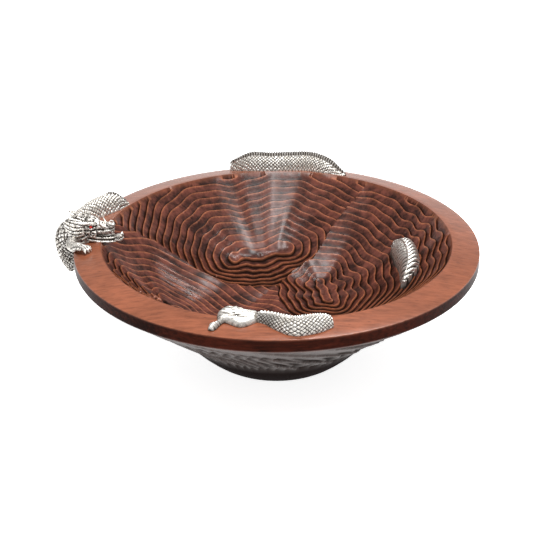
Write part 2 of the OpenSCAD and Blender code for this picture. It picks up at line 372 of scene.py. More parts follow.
# Plan centre, half length and turn of each hollow's core, its height, the spacing of its lips,
# where they start, and the waves along them: (count, amplitude, phase, twist, reach). The outer
# waves show on the wall far from the core: (count, amplitude, phase, twist, middle, spread).
HOLLOWS = [
    dict(centre=(-18.7, 103.3), half=32.7, turn=17.0, height=79.3, pitch=9.4, start=0.0,
         waves=((9, 0.9, -2.03, 0.54, 30), (5, 2.8, 0.65, -1.32, 14), (16, 1.2, -1.22, 0.3, 60))),
    dict(centre=(56.0, 28.3), half=22.3, turn=100.5, height=60.0, pitch=9.7, start=-0.5,
         waves=((8, 2.8, 2.9, 1.5, 26), (5, 1.9, 0.1, -0.25, 16)),
         outer=(21, 3.4, 3.44, -7.0, -1.69, 0.38)),
    dict(centre=(-99.0, -83.7), half=38.9, turn=-37.4, height=68.0, pitch=10.1, start=0.87,
         waves=((11, 3.0, -0.46, 2.22, 30), (5, 1.4, -1.03, 2.05, 30), (13, 1.2, -1.21, 2.06, 60))),
]
# Mean height of the hollow every 25 mm outwards from the middle
HOLLOW_Z = [57.0, 57.6, 59.0, 62.0, 70.0, 84.0, 101.0, 122.0, 144.9, 169.0, 195.0]
# Azimuths of the three ridges about the point where they meet, at growing distances from it
MEETING = (0.0, 32.0)
RIDGE_AT = [0.0, 40.0, 70.0, 110.0, 150.0, 190.0, 240.0]
RIDGE_AB = [62.0, 62.0, 51.0, 53.0, 50.5, 48.0, 46.0]
RIDGE_AC = [183.0, 181.0, 172.0, 168.5, 170.0, 175.0, 178.0]
RIDGE_BC = [-84.0, -84.0, -78.0, -80.0, -82.0, -84.0, -86.0]


def top_z(r):
    return EDGE_H + (RIM_R - r) * RIM_FALL / (RIM_R - MOUTH_R)


def mean_hollow(r):
    """Mean height of the carved hollow at a radius."""
    return along(HOLLOW_Z, r / (25.0 * (len(HOLLOW_Z) - 1)))


def hollow_phase(x, y):
    """Which hollow a point lies in, how many lips from its core, and its distance to a ridge."""
    dx, dy = x - MEETING[0], y - MEETING[1]
    d = np.hypot(dx, dy)
    az = np.degrees(np.arctan2(dy, dx))
    ab, ac, bc = (np.interp(d, RIDGE_AT, v) for v in (RIDGE_AB, RIDGE_AC, RIDGE_BC))
    az = np.where(az < bc, az + 360.0, az)
    owner = np.where(az < ab, 1, np.where(az < ac, 0, 2))
    gaps = np.stack([np.abs(az - ab), np.abs(az - ac),
                     np.minimum(np.abs(az - bc), np.abs(az - bc - 360.0))])
    aside = np.radians(np.minimum(gaps.min(axis=0), 90.0)) * d
    z = mean_hollow(np.hypot(x, y))
    phase = np.zeros_like(x)
    for n, h in enumerate(HOLLOWS):
        turn = math.radians(h["turn"])
        px, py = x - h["centre"][0], y - h["centre"][1]
        s = px * math.cos(turn) + py * math.sin(turn)
        t = -px * math.sin(turn) + py * math.cos(turn)
        far = np.sqrt(np.maximum(np.abs(s) - h["half"], 0) ** 2 + t ** 2 + (z - h["height"]) ** 2)
        bend = np.arccosh((s + 1j * t) / h["half"] + 1e-9)
        theta = np.where(bend.real < 0, -bend.imag, bend.imag)
        wave = sum(a * np.sin(k * theta + p + w * far / 100) * np.clip(far, 0.2 * reach, reach) / reach
                   for k, a, p, w, reach in h["waves"])
        if "outer" in h:
            k, a, p, w, middle, spread = h["outer"]
            strength = ease((far - 55) / 80) * (0.3 + 0.7 * np.exp(-((theta - middle) / spread) ** 2))
            wave = wave + a * strength * np.sin(k * theta + p + w * far / 100)
        phase = np.where(owner == n, (far + wave) / h["pitch"] + h["start"], phase)
    return owner, phase, aside


# Distance from a lip's edge to the bottom of the cut beside it
CUT_W = 1.1


def lip_profile(u, pitch, own):
    """Depth below the lips at a distance outwards from a lip's edge."""
    rise = np.clip((u - CUT_W) / (pitch - own.lip_width - CUT_W), 0, 1)
    return np.where(u < CUT_W, own.lip_drop * u / CUT_W, own.lip_drop * (1 - rise ** 1.5))


def carved_hollow(own):
    """Points, triangles and marks of the hollow, and its boundary loop by angle."""
    h = own.grid
    n = int(MOUTH_R / h) + 2
    axis = (np.arange(-n, n + 1)) * h
    x, y = np.meshgrid(axis, axis, indexing="ij")
    r = np.hypot(x, y)
    inside = r <= MOUTH_R - 0.6 * h
    quads = inside[:-1, :-1] & inside[1:, :-1] & inside[:-1, 1:] & inside[1:, 1:]
    used = np.zeros_like(inside)
    for a in (0, 1):
        for b in (0, 1):
            used[a:used.shape[0] - 1 + a, b:used.shape[1] - 1 + b] |= quads
    inner = used.copy()
    inner[1:-1, 1:-1] &= quads[:-1, :-1] & quads[1:, :-1] & quads[:-1, 1:] & quads[1:, 1:]
    border = used & ~inner

    owner, phase, _ = hollow_phase(x, y)
    pitch = np.array([k["pitch"] for k in HOLLOWS])[owner]
    step = 0.2
    # how fast the lips are crossed, in lips for each mm
    gx = (hollow_phase(x + step, y)[1] - hollow_phase(x - step, y)[1]) / (2 * step)
    gy = (hollow_phase(x, y + step)[1] - hollow_phase(x, y - step)[1]) / (2 * step)
    slope = np.hypot(gx, gy) + 1e-6
    # points are drawn onto the lips, except where these are too far apart or too close together
    calm = (slope > 0.04) & (slope < 0.25)
    reach = 0.5 * h * np.maximum(np.abs(gx), np.abs(gy)) / slope
    off = (phase - np.round(phase)) / slope
    on_lip = calm & (np.abs(off) <= reach) & ~border
    in_cut = calm & (off > reach) & (off <= 3 * reach) & ~border
    move = np.where(on_lip, -off, np.where(in_cut, 1.15 - off, 0.0))
    px, py = x + move * gx / slope, y + move * gy / slope

    angle = np.arctan2(py, px)
    px = np.where(border, MOUTH_R * np.cos(angle), px)
    py = np.where(border, MOUTH_R * np.sin(angle), py)
    owner, phase, aside = hollow_phase(px, py)
    fraction = phase - np.floor(phase)
    u = fraction * pitch
    depth = lip_profile(u, pitch, own)
    depth = np.where(on_lip, 0.0, np.where(in_cut, own.lip_drop, depth))
    pr = np.hypot(px, py)
    ridge = own.ridge * np.exp(-(aside / 26.0) ** 1.6) * ease((MOUTH_R - pr) / 45.0)
    ridge = ridge * np.where(owner == 0, 0.55, 1.0)
    fade = ease((MOUTH_R - pr) / 1.2)
    z = mean_hollow(pr) + ridge - depth * fade
    z = np.where(border, BOWL_H, np.minimum(z, BOWL_H - 0.2))

    number = -np.ones(used.shape, int)
    number[used] = np.arange(used.sum())
    points = np.stack([px[used], py[used], z[used]], axis=1)
    i, j = np.nonzero(quads)
    a, b, c, d = number[i, j], number[i + 1, j], number[i + 1, j + 1], number[i, j + 1]
    lip_flag, edge_flag, cut_flag = on_lip[used], border[used], in_cut[used]
    straight = (lip_flag[a] & lip_flag[c]) | (cut_flag[a] & cut_flag[c] & ~(lip_flag[b] & lip_flag[d]))
    crossed = (lip_flag[b] & lip_flag[d]) | (cut_flag[b] & cut_flag[d])
    rough_a = np.abs(points[a, 2] - points[c, 2])
    rough_b = np.abs(points[b, 2] - points[d, 2])
    pick = np.where(straight, True, np.where(crossed, False, rough_a <= rough_b))
    count = edge_flag[a].astype(int) + edge_flag[b] + edge_flag[c] + edge_flag[d]
    free_ac = ~edge_flag[a] | ~edge_flag[c]
    pick = np.where(count == 3, free_ac, pick)
    tris = np.concatenate([
        np.stack([a, b, c], 1)[pick], np.stack([a, c, d], 1)[pick],
        np.stack([a, b, d], 1)[~pick], np.stack([b, c, d], 1)[~pick]])

    uu = u[used]
    pp = pitch[used]
    lip = np.where(lip_flag, 1.0, ease((uu - (pp - own.lip_width - 0.5)) / 0.8))
    lip = np.where(cut_flag, 0.0, lip)
    # painted shade in the cut beside each lip: full in the cut, fading outwards over 2.4 mm
    groove = np.where(cut_flag, 1.0, ease(1 - (uu - CUT_W) / 2.4) * (uu > 0.5) * ~lip_flag)
    soft = ease((MOUTH_R - pr[used] - 2.0) / 2.0)
    # the rise mark runs from 0 at a lip's edge to 1 at the next lip and paints shade across each strip
    marks = dict(hollow=np.where(edge_flag, 0.35, 1.0), lip=lip * soft, groove=groove * soft,
                 rise=uu / pp)
    rim_ids = np.nonzero(edge_flag)[0]
    turn = np.arctan2(points[rim_ids, 1], points[rim_ids, 0])
    return points, tris, marks, rim_ids[np.argsort(turn)]


def bridge(lower, upper, points):
    """Triangles between two loops that are both sorted by angle."""
    def angles(loop):
        return np.arctan2(points[loop, 1], points[loop, 0])

    one, two = angles(lower), angles(upper)
    i = j = 0
    n, m = len(lower), len(upper)
    faces = []
    while i < n or j < m:
        next_one = one[i + 1] if i + 1 < n else one[0] + TURN
        next_two = two[j + 1] if j + 1 < m else two[0] + TURN
        if j >= m or (i < n and next_one <= next_two):
            faces.append((lower[i % n], lower[(i + 1) % n], upper[j % m]))
            i += 1
        else:
            faces.append((lower[i % n], upper[(j + 1) % m], upper[j % m]))
            j += 1
    return faces


def underside_depth(x, y, v):
    """Depth of the gouge cuts under the bowl. v runs from 0 at the band to 1 at the shoulder."""
    theta = np.arctan2(y, x)
    zig = np.abs((v * 2.4 + 0.15 * np.sin(4 * theta)) % 2 - 1)
    phase = 66 * theta / TURN - 1.5 * zig + 0.5 * np.sin(3 * theta) + 0.3 * np.sin(7 * theta)
    cut = phase - np.floor(phase)
    bite = np.where(cut < 0.14, cut / 0.14, (1 - cut) ** 0.8 / 0.86 ** 0.8)
    rows_at = 0.75 + 0.25 * np.sin(TURN * (v * 3.2 + 0.2 * np.sin(9 * theta)))
    heavy = 0.5 + 0.5 * np.cos(theta + 0.7)
    strength = ease(v / 0.12) * ease((1 - v) / 0.05)
    near_foot = 0.15 + 0.85 * ease((v - 0.22 + 0.1 * np.sin(6 * theta)) / 0.3)
    ledge_phase = 3.2 * v - 18 * theta / TURN
    ledge = (ledge_phase - np.floor(ledge_phase)) * heavy ** 2
    return strength * (2.3 * bite * rows_at * near_foot + 2.0 * ledge)


def bowl_mesh(own):
    points, tris, marks, mouth = carved_hollow(own)
    faces = [tuple(t) for t in tris]
    clouds = [points]
    lists = {k: [v] for k, v in marks.items()}
    lists.update({k: [np.zeros(len(points))] for k in ("under", "foot", "edge")})
    total = len(points)
    theta = np.arctan2(points[mouth, 1], points[mouth, 0])
    previous = mouth

    def add_ring(angle, radius, height, **own_marks):
        nonlocal total
        ring = np.stack([radius * np.cos(angle), radius * np.sin(angle),
                         np.broadcast_to(height, angle.shape)], 1)
        clouds.append(ring)
        for key in lists:
            value = own_marks.get(key, 0.0)
            lists[key].append(np.broadcast_to(np.asarray(value, float), angle.shape))
        ids = np.arange(total, total + len(angle))
        total += len(angle)
        return ids

    def join(one, two):
        faces.extend(zip(one, np.roll(one, -1), np.roll(two, -1), two))

    profile = [(MOUTH_R + 0.8, top_z(MOUTH_R + 0.8) + 0.15, 0.0),
               (MOUTH_R + 9, top_z(MOUTH_R + 9), 0.0), (MID_R + 6, top_z(MID_R + 6), 0.0),
               (RIM_R - 1.5, top_z(RIM_R - 1.5), 0.0), (RIM_R - 0.35, EDGE_H - 0.15, 0.0),
               (RIM_R - 0.05, EDGE_H - 1.0, 0.8), (RIM_R, EDGE_H - 2.4, 1.0),
               (RIM_R, EDGE_H - BAND_H + 1.6, 1.0), (RIM_R - 0.9, EDGE_H - BAND_H, 0.9)]
    for radius, height, edge in profile:
        ring = add_ring(theta, radius, height, edge=edge)
        join(previous, ring)
        previous = ring

    around, rows = 660, 34
    angle = -math.pi + (np.arange(around) + 0.5) * TURN / around
    start = (RIM_R - 1.9, EDGE_H - BAND_H - 0.7)
    normal = Vector((SHOULDER_H - start[1], start[0] - SHOULDER_R)).normalized()
    for k in range(rows + 1):
        v = k / rows
        radius = start[0] + (SHOULDER_R - start[0]) * v
        height = start[1] + (SHOULDER_H - start[1]) * v
        depth = underside_depth(radius * np.cos(angle), radius * np.sin(angle), v)
        started = ease(v / 0.03)  # the edge band turns into the grey underside
        # the groove mark paints shade into the gouges underneath, darker where they cut deeper
        ring = add_ring(angle, radius + normal.x * depth, height + normal.y * depth,
                        under=started, edge=1 - started, foot=0.75 * ease((v - 0.93) / 0.07),
                        groove=np.clip(depth / 1.9 - 0.45, 0, 0.9))
        if k == 0:
            faces.extend(bridge(previous, ring, np.concatenate(clouds)))
        else:
            join(previous, ring)
        previous = ring
    # the foot mark, here and on the last rows of the underside above, paints shade under the bowl
    for radius, height in ((108, 26.5), (100.5, 18.5), (92, 10.5), (84.5, 4.2), (80, 1.0),
                           (FOOT_R, 0.0), (FOOT_R - 6, 0.0), (40.0, 0.0)):
        ring = add_ring(angle, radius, height, under=1.0, foot=1.0)
        join(previous, ring)
        previous = ring
    hub = add_ring(np.array([0.0]), 0.0, 0.0, under=1.0, foot=1.0)[0]
    faces.extend((previous[k], previous[(k + 1) % around], hub) for k in range(around))
    return np.concatenate(clouds), faces, {k: np.concatenate(v) for k, v in lists.items()}


class BOWL_OT_bowl(bpy.types.Operator):
    """Build the turned and carved wooden bowl"""
    bl_idname = "bowl.bowl"
    bl_label = "Wooden bowl"

    def execute(self, context):
        points, faces, marks = bowl_mesh(settings("bowl_settings"))
        piece = mesh_piece("carved_bowl", points, faces, wood_finish(), marks, 28.0)
        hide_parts("bowl_body")
        return {"FINISHED"}


# ---- low castings

class Bend:
    """A low casting that follows the rim, with a D-shaped section."""

    def __init__(self, ends, radius, offsets, width, widths, height, heights, inside=False, lean=0.0):
        self.first, self.last = ends
        self.radii = [radius + d for d in offsets]
        self.widths = [width * k for k in widths]
        self.heights = [height * k for k in heights]
        self.inside, self.lean = inside, lean

    def centre(self, t):
        azimuth = np.radians(self.first + (self.last - self.first) * t)
        r = along(self.radii, t)
        return np.stack([r * np.cos(azimuth), r * np.sin(azimuth)], axis=-1)

    def base_z(self, r):
        if self.inside:
            return BOWL_H - (MOUTH_R - r) * (BOWL_H - WALL_H) / (MOUTH_R - WALL_R)
        return top_z(r)

    def skin(self, steps, around, relief, sink=0.0):
        """Points, faces and darkening marks: patina in the cuts, painted shade under the casting.
        relief(t, a, s, q) gives mm outwards and a darkening.
        """
        t = np.linspace(0, 1, steps + 1)
        middle = self.centre(t)
        ahead = unit(self.centre(np.minimum(1, t + 0.01)) - self.centre(np.maximum(0, t - 0.01)))
        side = np.stack([ahead[:, 1], -ahead[:, 0]], axis=1)
        half, high = along(self.widths, t) / 2, along(self.heights, t)
        a = np.linspace(0, math.pi, around)
        girth = (half + high) * 0.5 * math.pi
        tt, aa = np.meshgrid(t, a, indexing="ij")
        q = (aa / math.pi - 0.5) * girth[:, None]
        s = np.broadcast_to(walked(middle)[:, None], q.shape)
        out, recess_and_shade = relief(tt, aa, s, q)
        ends = ease(np.minimum(tt, 1 - tt) / 0.03)
        foot = ease(np.minimum(aa, math.pi - aa) / 0.25)
        out = out * (0.25 + 0.75 * ends) * foot
        w = half[:, None] + out
        h = np.maximum(high[:, None] + out, 0.3)
        plan = (middle[:, None, :] + side[:, None, :] * (w * np.cos(aa))[..., None]
                + side[:, None, :] * (self.lean * h * np.sin(aa))[..., None])
        ground = self.base_z(np.linalg.norm(plan, axis=2)) + SEAT_GAP
        z = ground + h * np.sin(aa)
        rings = np.concatenate([plan, z[..., None]], axis=2)
        under = rings[:, ::-1, :][:, [0, around // 4, around // 2, 3 * around // 4, -1], :].copy()
        under[:, :, 2] = self.base_z(np.linalg.norm(under[:, :, :2], axis=2)) + SEAT_GAP - sink
        if sink == 0.0:
            under = under[:, 1:-1]
        rings = np.concatenate([rings, under], axis=1)
        extra = rings.shape[1] - around
        # painted shade: the rows under the casting get the darkest mark
        recess_and_shade = np.concatenate([recess_and_shade, np.ones((len(t), extra))], axis=1)
        points, faces = capped(rings)
        return points, faces, np.concatenate([recess_and_shade.ravel(), [0.3, 0.3]])


COIL = Bend((105.5, 65), MID_R, (8, 2, -2, 1, 4, 0, -7), 25, (0.32, 0.96, 1, 1, 1, 0.98, 0.24),
            22, (0.5, 0.98, 0.95, 0.97, 1, 0.74, 0.12))
LEFT = Bend((166.5, 151.6), MID_R, (26, 16, 6, -3, -10), 25, (0.8, 1, 1, 0.9, 0.3),
            23, (0.72, 0.96, 1, 0.78, 0.16))
RIGHT = Bend((-16.5, 20), MOUTH_R - 51, (0, 4, 5, 4, 2), 22, (0.2, 0.9, 1, 0.96, 0.5),
             20, (0.1, 0.66, 0.95, 1, 0.45), True, -0.12)
TAIL = Bend((-95.6, -75), MID_R, (-17.5, -15, -8, -1.5, -2, -4, -6),
            23, (0.55, 0.68, 0.88, 1, 1, 0.92, 0.7),
            13.5, (0.55, 0.62, 0.8, 0.96, 1, 0.92, 0.66), False, 0.3)


def off_back(a, middle, width):
    """How far round the section a point is from a line along the back, in widths of that line."""
    return np.abs(a - math.radians(middle)) / math.radians(width)


def crest(a, s, middle, width, high, pitch):
    """A notched crest along the back: height in mm and recess."""
    body = ease(1.5 * (1 - off_back(a, middle, width)))
    notch = ripple(s, pitch)
    return body * high * (0.5 + 0.5 * notch), ease(2 * body) * (0.52 + 0.42 * (1 - notch))


class BOWL_OT_coils(bpy.types.Operator):
    """Build the scaled coil and the two humps"""
    bl_idname = "bowl.coils"
    bl_label = "Coil and humps"

    def execute(self, context):
        depth = settings("casting_settings").scale_depth
        metal = cast_finish("Bright cast metal")

        def coil_relief(t, a, s, q):
            up, cut = diamonds(s, q, 4.4, 4.4)
            lift, dark = crest(a, s, 86, 30, 3.0, 3.2)
            blend = ease(1.6 - off_back(a, 86, 20))
            return -depth * (1 - up) * (1 - blend) + lift, np.maximum(cut * (1 - blend), dark)

        def left_relief(t, a, s, q):
            up, cut = diamonds(s, q, 4.8, 5.2)
            late = ease((t - 0.45) / 0.2)
            lift, dark = crest(a, s, 98, 20, 3.0, 3.0)
            lift, dark = lift * late, dark * late
            blend = ease(1 - off_back(a, 98, 17)) * late
            return -1.25 * depth * (1 - up) * (1 - blend) + lift, np.maximum(cut * (1 - blend), dark)

        def right_relief(t, a, s, q):
            up, cut = diamonds(s, q, 5.4, 5.0)
            wave = ripple(s - 0.45 * np.abs(q), 6.2)
            ribs = np.maximum(ease((math.radians(88) - a) / 0.1), ease((0.52 - t) / 0.14))
            lift, dark = crest(a, s, 92, 6, 2.4, 60.0)
            out = -depth * (1 - up) * (1 - ribs) - 1.7 * (1 - wave) * ribs
            return out + lift, np.maximum(cut * (1 - ribs), (1 - wave) ** 1.5 * ribs) * (1 - lift / 2.4)

        for name, bend, relief, steps, around, sink in (
                ("back_coil_scaled", COIL, coil_relief, 330, 100, 0.0),
                ("left_hump_scaled", LEFT, left_relief, 150, 100, 0.0),
                ("right_hump_scaled", RIGHT, right_relief, 260, 90, 9.0)):
            points, faces, recess_and_shade = bend.skin(steps, around, relief, sink)
            piece = mesh_piece(name, points, faces, metal, {"recess_and_shade": recess_and_shade}, 50.0)
            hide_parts(name.replace("_scaled", ""))
        return {"FINISHED"}


FIN_OUTLINE = [(.1, 6), (5, 10), (11, 14), (18.5, 15), (29, 10), (34, 10), (40, 20.5), (45, 22.5),
               (47.5, 20), (46.5, 15), (42, 12), (39.5, 7), (41, -1.5), (37, -10.8), (30, -14.5),
               (22, -14), (11.5, -10), (.1, -7)]
JOIN_AZ, JOIN_R = math.radians(-95.6), MID_R - 17


def fin_mesh():
    """The smooth fin as a pillow with a centre groove and rays in its two lobes."""
    control = np.array(FIN_OUTLINE + FIN_OUTLINE[:1], float)
    edge = along(control, np.linspace(0, 1, 181))[:-1]
    edge[:, 0] = np.maximum(edge[:, 0], 0.1)
    grid = np.mgrid[0:49:0.8, -16:24:0.8].reshape(2, -1).T
    nxt = np.roll(edge, -1, axis=0)

    def to_edge(p):
        d = nxt - edge
        k = np.clip(((p[:, None, :] - edge) * d).sum(2) / (d * d).sum(1), 0, 1)
        gap = np.linalg.norm(p[:, None, :] - edge - k[..., None] * d, axis=2).min(axis=1)
        cross = ((edge[:, 1] > p[:, None, 1]) != (nxt[:, 1] > p[:, None, 1]))
        at = edge[:, 0] + (p[:, None, 1] - edge[:, 1]) * (nxt[:, 0] - edge[:, 0]) / (
            nxt[:, 1] - edge[:, 1] + 1e-12)
        return gap, (cross & (p[:, None, 0] < at)).sum(axis=1) % 2 == 1

    gap, inside = to_edge(grid)
    flat = np.concatenate([edge, grid[inside & (gap > 0.5)]])
    count = len(edge)
    loop = [(k, (k + 1) % count) for k in range(count)]
    result = delaunay_2d_cdt([Vector(p) for p in flat], loop, [], 1, 1e-5)
    flat = np.array([tuple(p) for p in result[0]])
    tris = result[2]
    gap = to_edge(flat)[0]
    u, v = flat[:, 0], flat[:, 1]
    high = 6.4 * np.sqrt(np.clip(1 - (1 - np.clip(gap / 6.0, 0, 1)) ** 2, 0, 1)) + 0.5
    spine = np.abs(v - (1.5 + 2.5 * np.sin(u / 9.0))) / 1.3
    groove = np.exp(-spine ** 2) * ease((u - 9) / 6) * ease((38 - u) / 5)
    dimple = np.exp(-(((u - 21) / 3.0) ** 2 + ((v - 1.5) / 1.7) ** 2))
    tips = ease((u - 30) / 6)
    rays = (1 - ripple(v * 0.9 + u * 0.15, 2.6)) * tips
    low = ease((v + 4) / -3)
    folds = (1 - ripple(v + 0.55 * u, 5.2)) * low * ease((u - 12) / 8)
    bend = v + 2.2 * np.sin(u / 6.5)
    creases = (1 - ripple(bend, 4.4)) ** 3 * ease((u - 3) / 6)
    cut = np.clip(0.9 * groove + 1.2 * dimple + 0.8 * rays + 0.7 * folds + 0.8 * creases, 0, 2.6)
    top = np.maximum(high - cut, 0.4)
    recess_and_shade = np.clip(0.1 + 0.46 * cut + 0.3 * np.exp(-gap / 0.4), 0, 1)
    n = len(flat)
    slope = math.atan(RIM_FALL / (RIM_R - MOUTH_R))
    place = (Matrix.Translation((0, 0, top_z(JOIN_R) + SEAT_GAP)) @ Matrix.Rotation(JOIN_AZ, 4, "Z")
             @ Matrix.Translation((JOIN_R, 0, 0)) @ Matrix.Rotation(slope, 4, "Y"))
    local = [(b, -a, z) for a, b, z in zip(u, v, top)] + [(b, -a, 0.0) for a, b in flat]
    points = np.array([tuple(place @ Vector(p)) for p in local])
    faces = [tuple(t) for t in tris] + [tuple(i + n for i in reversed(t)) for t in tris]
    outer = [k for k in range(n) if gap[k] < 1e-4]
    outer.sort(key=lambda k: min(range(count), key=lambda e: (edge[e] - flat[k]) @ (edge[e] - flat[k])))
    faces += [(outer[k], outer[(k + 1) % len(outer)], outer[(k + 1) % len(outer)] + n, outer[k] + n)
              for k in range(len(outer))]
    # painted shade: the flat underside gets the darkest mark
    return points, faces, np.concatenate([recess_and_shade, np.ones(n)])


class BOWL_OT_tail(bpy.types.Operator):
    """Build the scaled tail and its smooth fin"""
    bl_idname = "bowl.tail"
    bl_label = "Tail and fin"

    def execute(self, context):
        depth = settings("casting_settings").scale_depth

        def relief(t, a, s, q):
            up, cut = diamonds(s, q, 4.6, 4.6)
            ribs = ease((a - math.radians(132)) / 0.15)
            wave = ripple(s - 0.5 * q, 3.0)
            lift = ribs * ease((math.radians(176) - a) / 0.3) * (1.2 + 1.0 * wave)
            out = -1.2 * depth * (1 - up) * (1 - ribs) + lift
            shade = 0.34 + 0.26 * ease((0.42 - t) / 0.2)
            return out, np.maximum(np.maximum(cut, shade) * (1 - ribs), (1 - wave) * ribs * 0.85)

        points, faces, recess_and_shade = TAIL.skin(200, 90, relief)
        piece = mesh_piece("tail_scaled", points, faces, cast_finish("Tail cast metal"),
                           {"recess_and_shade": recess_and_shade}, 50.0)
        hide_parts("tail_body")
        points, faces, recess_and_shade = fin_mesh()
        piece = mesh_piece("tail_fin_smooth", points, faces, cast_finish("Polished fin metal", 0.02, 0.15),
                           {"recess_and_shade": recess_and_shade}, 50.0)
        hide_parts("tail_fin")
        return {"FINISHED"}


# ---- sculpted castings

class Wax:
    """A shape built from rods and balls in mm, then fused into one skin like a wax model."""
    # The fine beaded grain of the skin: turns per mm, and depth in mm
    grain_turns, grain_depth = 3.1, 0.38
    # Spacing of the skin's points in mm, and how dark a hollow gets for each mm of depth
    voxel, dark = 0.45, 15.0

    def __init__(self, place):
        self.shell = bmesh.new()
        self.place = place

    def rod(self, line, radii, sides=14, flat=1.0):
        """A rounded rod through points, with a radius at each."""
        line = np.array(line, float)
        n = max(6, 5 * (len(line) - 1))
        t = np.linspace(0, 1, n + 1)
        path = along(line, t) if len(line) > 2 else line[0] + (line[1] - line[0]) * t[:, None]
        size = np.maximum(along(radii, t) if len(radii) > 2 else np.interp(t, [0, 1], radii), 0.15)
        ahead = unit(np.gradient(path, axis=0))
        caps = [(-0.98, 0.2), (-0.7, 0.7)], [(0.7, 0.7), (0.98, 0.2)]
        rows = [(path[0] + ahead[0] * k * size[0], ahead[0], size[0] * w) for k, w in caps[0]]
        rows += list(zip(path, ahead, size))
        rows += [(path[-1] + ahead[-1] * k * size[-1], ahead[-1], size[-1] * w) for k, w in caps[1]]
        rings = []
        for centre, way, width in rows:
            up = np.array([0.0, 0.0, 1.0]) if abs(way[2]) < 0.9 else np.array([0.0, 1.0, 0.0])
            one = np.cross(way, up)
            one /= np.linalg.norm(one)
            two = np.cross(one, way)
            angle = np.arange(sides) * TURN / sides
            rings.append(centre + width * (np.cos(angle)[:, None] * one * flat
                                           + np.sin(angle)[:, None] * two))
        self._close(rings)

    def _close(self, rings):
        points, faces = capped(rings)
        made = [self.shell.verts.new(self.place @ Vector(p)) for p in points]
        for face in faces:
            self.shell.faces.new([made[k] for k in face])

    def ball(self, centre, size):
        rings = []
        for k in range(1, 10):
            polar = math.pi * k / 10
            angle = np.arange(16) * TURN / 16
            rings.append(np.stack([
                centre[0] + size[0] * math.sin(polar) * np.cos(angle),
                centre[1] + size[1] * math.sin(polar) * np.sin(angle),
                np.full(16, centre[2] - size[2] * math.cos(polar))], 1))
        self._close(rings)

    def rods(self, line, radii):
        """The same rod on both sides of the middle."""
        for side in (-1, 1):
            self.rod([(x, side * y, z) for x, y, z in line], radii)

    def balls(self, centre, size):
        """The same ball on both sides of the middle."""
        for side in (-1, 1):
            self.ball((centre[0], side * centre[1], centre[2]), size)

    def cast(self, name, material):
        """Fuse everything into one piece and mark its recesses."""
        bmesh.ops.recalc_face_normals(self.shell, faces=self.shell.faces)
        mesh = bpy.data.meshes.new(name)
        self.shell.to_mesh(mesh)
        self.shell.free()
        raw = bpy.data.objects.new(name, mesh)
        bpy.context.scene.collection.objects.link(raw)
        fuse = raw.modifiers.new("fuse", "REMESH")
        fuse.mode = "VOXEL"
        fuse.voxel_size = self.voxel
        graph = bpy.context.evaluated_depsgraph_get()
        fused = bpy.data.meshes.new_from_object(raw.evaluated_get(graph))
        bpy.data.objects.remove(raw)
        points = read(fused.vertices, "co", 3)
        edges = read(fused.edges, "vertices", 2, int)
        count = np.bincount(edges.ravel(), minlength=len(points))[:, None]

        def mean_round(values):
            total = np.zeros_like(values)
            np.add.at(total, edges[:, 0], values[edges[:, 1]])
            np.add.at(total, edges[:, 1], values[edges[:, 0]])
            return total / count

        points = 0.5 * points + 0.5 * mean_round(points)
        faces = [tuple(p.vertices) for p in fused.polygons]
        fused.vertices.foreach_set("co", points.ravel())
        fused.update()
        normals = read(fused.vertex_normals, "vector", 3)
        grain = np.prod(np.sin(points * self.grain_turns + np.array([0.3, 1.1, 2.0])), axis=1)
        points = points + normals * self.grain_depth * (grain - 0.5)[:, None]
        wide = points
        for _ in range(6):
            wide = mean_round(wide)
        sunk = ((wide - points) * normals).sum(axis=1)[:, None]
        sunk = mean_round(sunk)[:, 0]
        recess_and_shade = np.clip(sunk * self.dark, 0, 1)
        return mesh_piece(name, points, faces, material, {"recess_and_shade": recess_and_shade}, 180.0)


HEAD_PLACE = Matrix.Translation((-RIM_R + 9, -3, EDGE_H + 19.5)) @ Matrix.Rotation(
    math.radians(-6), 4, "Z")


def spiral(centre, radius, turns, start, lean):
    """Points of a flat spiral in the side plane of the head."""
    line = []
    for f in np.linspace(0, 1, 11):
        angle = start + turns * TURN * f
        reach = radius * (1 - 0.8 * f)
        line.append((centre[0] + reach * math.cos(angle), centre[1] + lean * f,
                     centre[2] + reach * math.sin(angle)))
    return line


